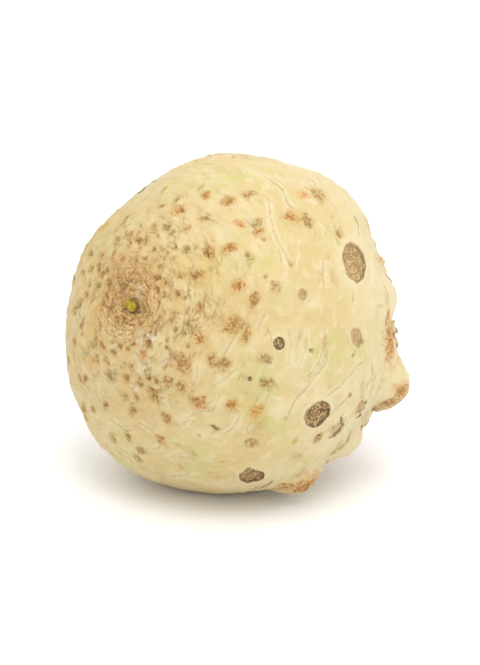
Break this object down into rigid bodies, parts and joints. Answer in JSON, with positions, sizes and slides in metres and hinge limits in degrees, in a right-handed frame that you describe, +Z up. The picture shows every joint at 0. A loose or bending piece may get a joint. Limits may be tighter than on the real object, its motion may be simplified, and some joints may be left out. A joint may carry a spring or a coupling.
{
  "type": "celeriac root",
  "caption": "Whole knobbly celeriac root with a trimmed crown and cut roots, lying on its side on a small flat spot.",
  "frame": {"origin": "centre of the bounding box's bottom face, within the flat spot that the root rests on", "axes": "+Z up, away from the flat spot; the crown looks towards -X, tilted 22 degrees up; the tail looks towards +X; -Y is the near side with the sideways knob"},
  "size_m": [0.1128, 0.12, 0.1158],
  "materials": {
    "skin": "dry, slightly waxy cream skin with brown root scars"
  },
  "bodies": {
    "root": {"celeriac_root": "skin"}
  },
  "joints": []
}
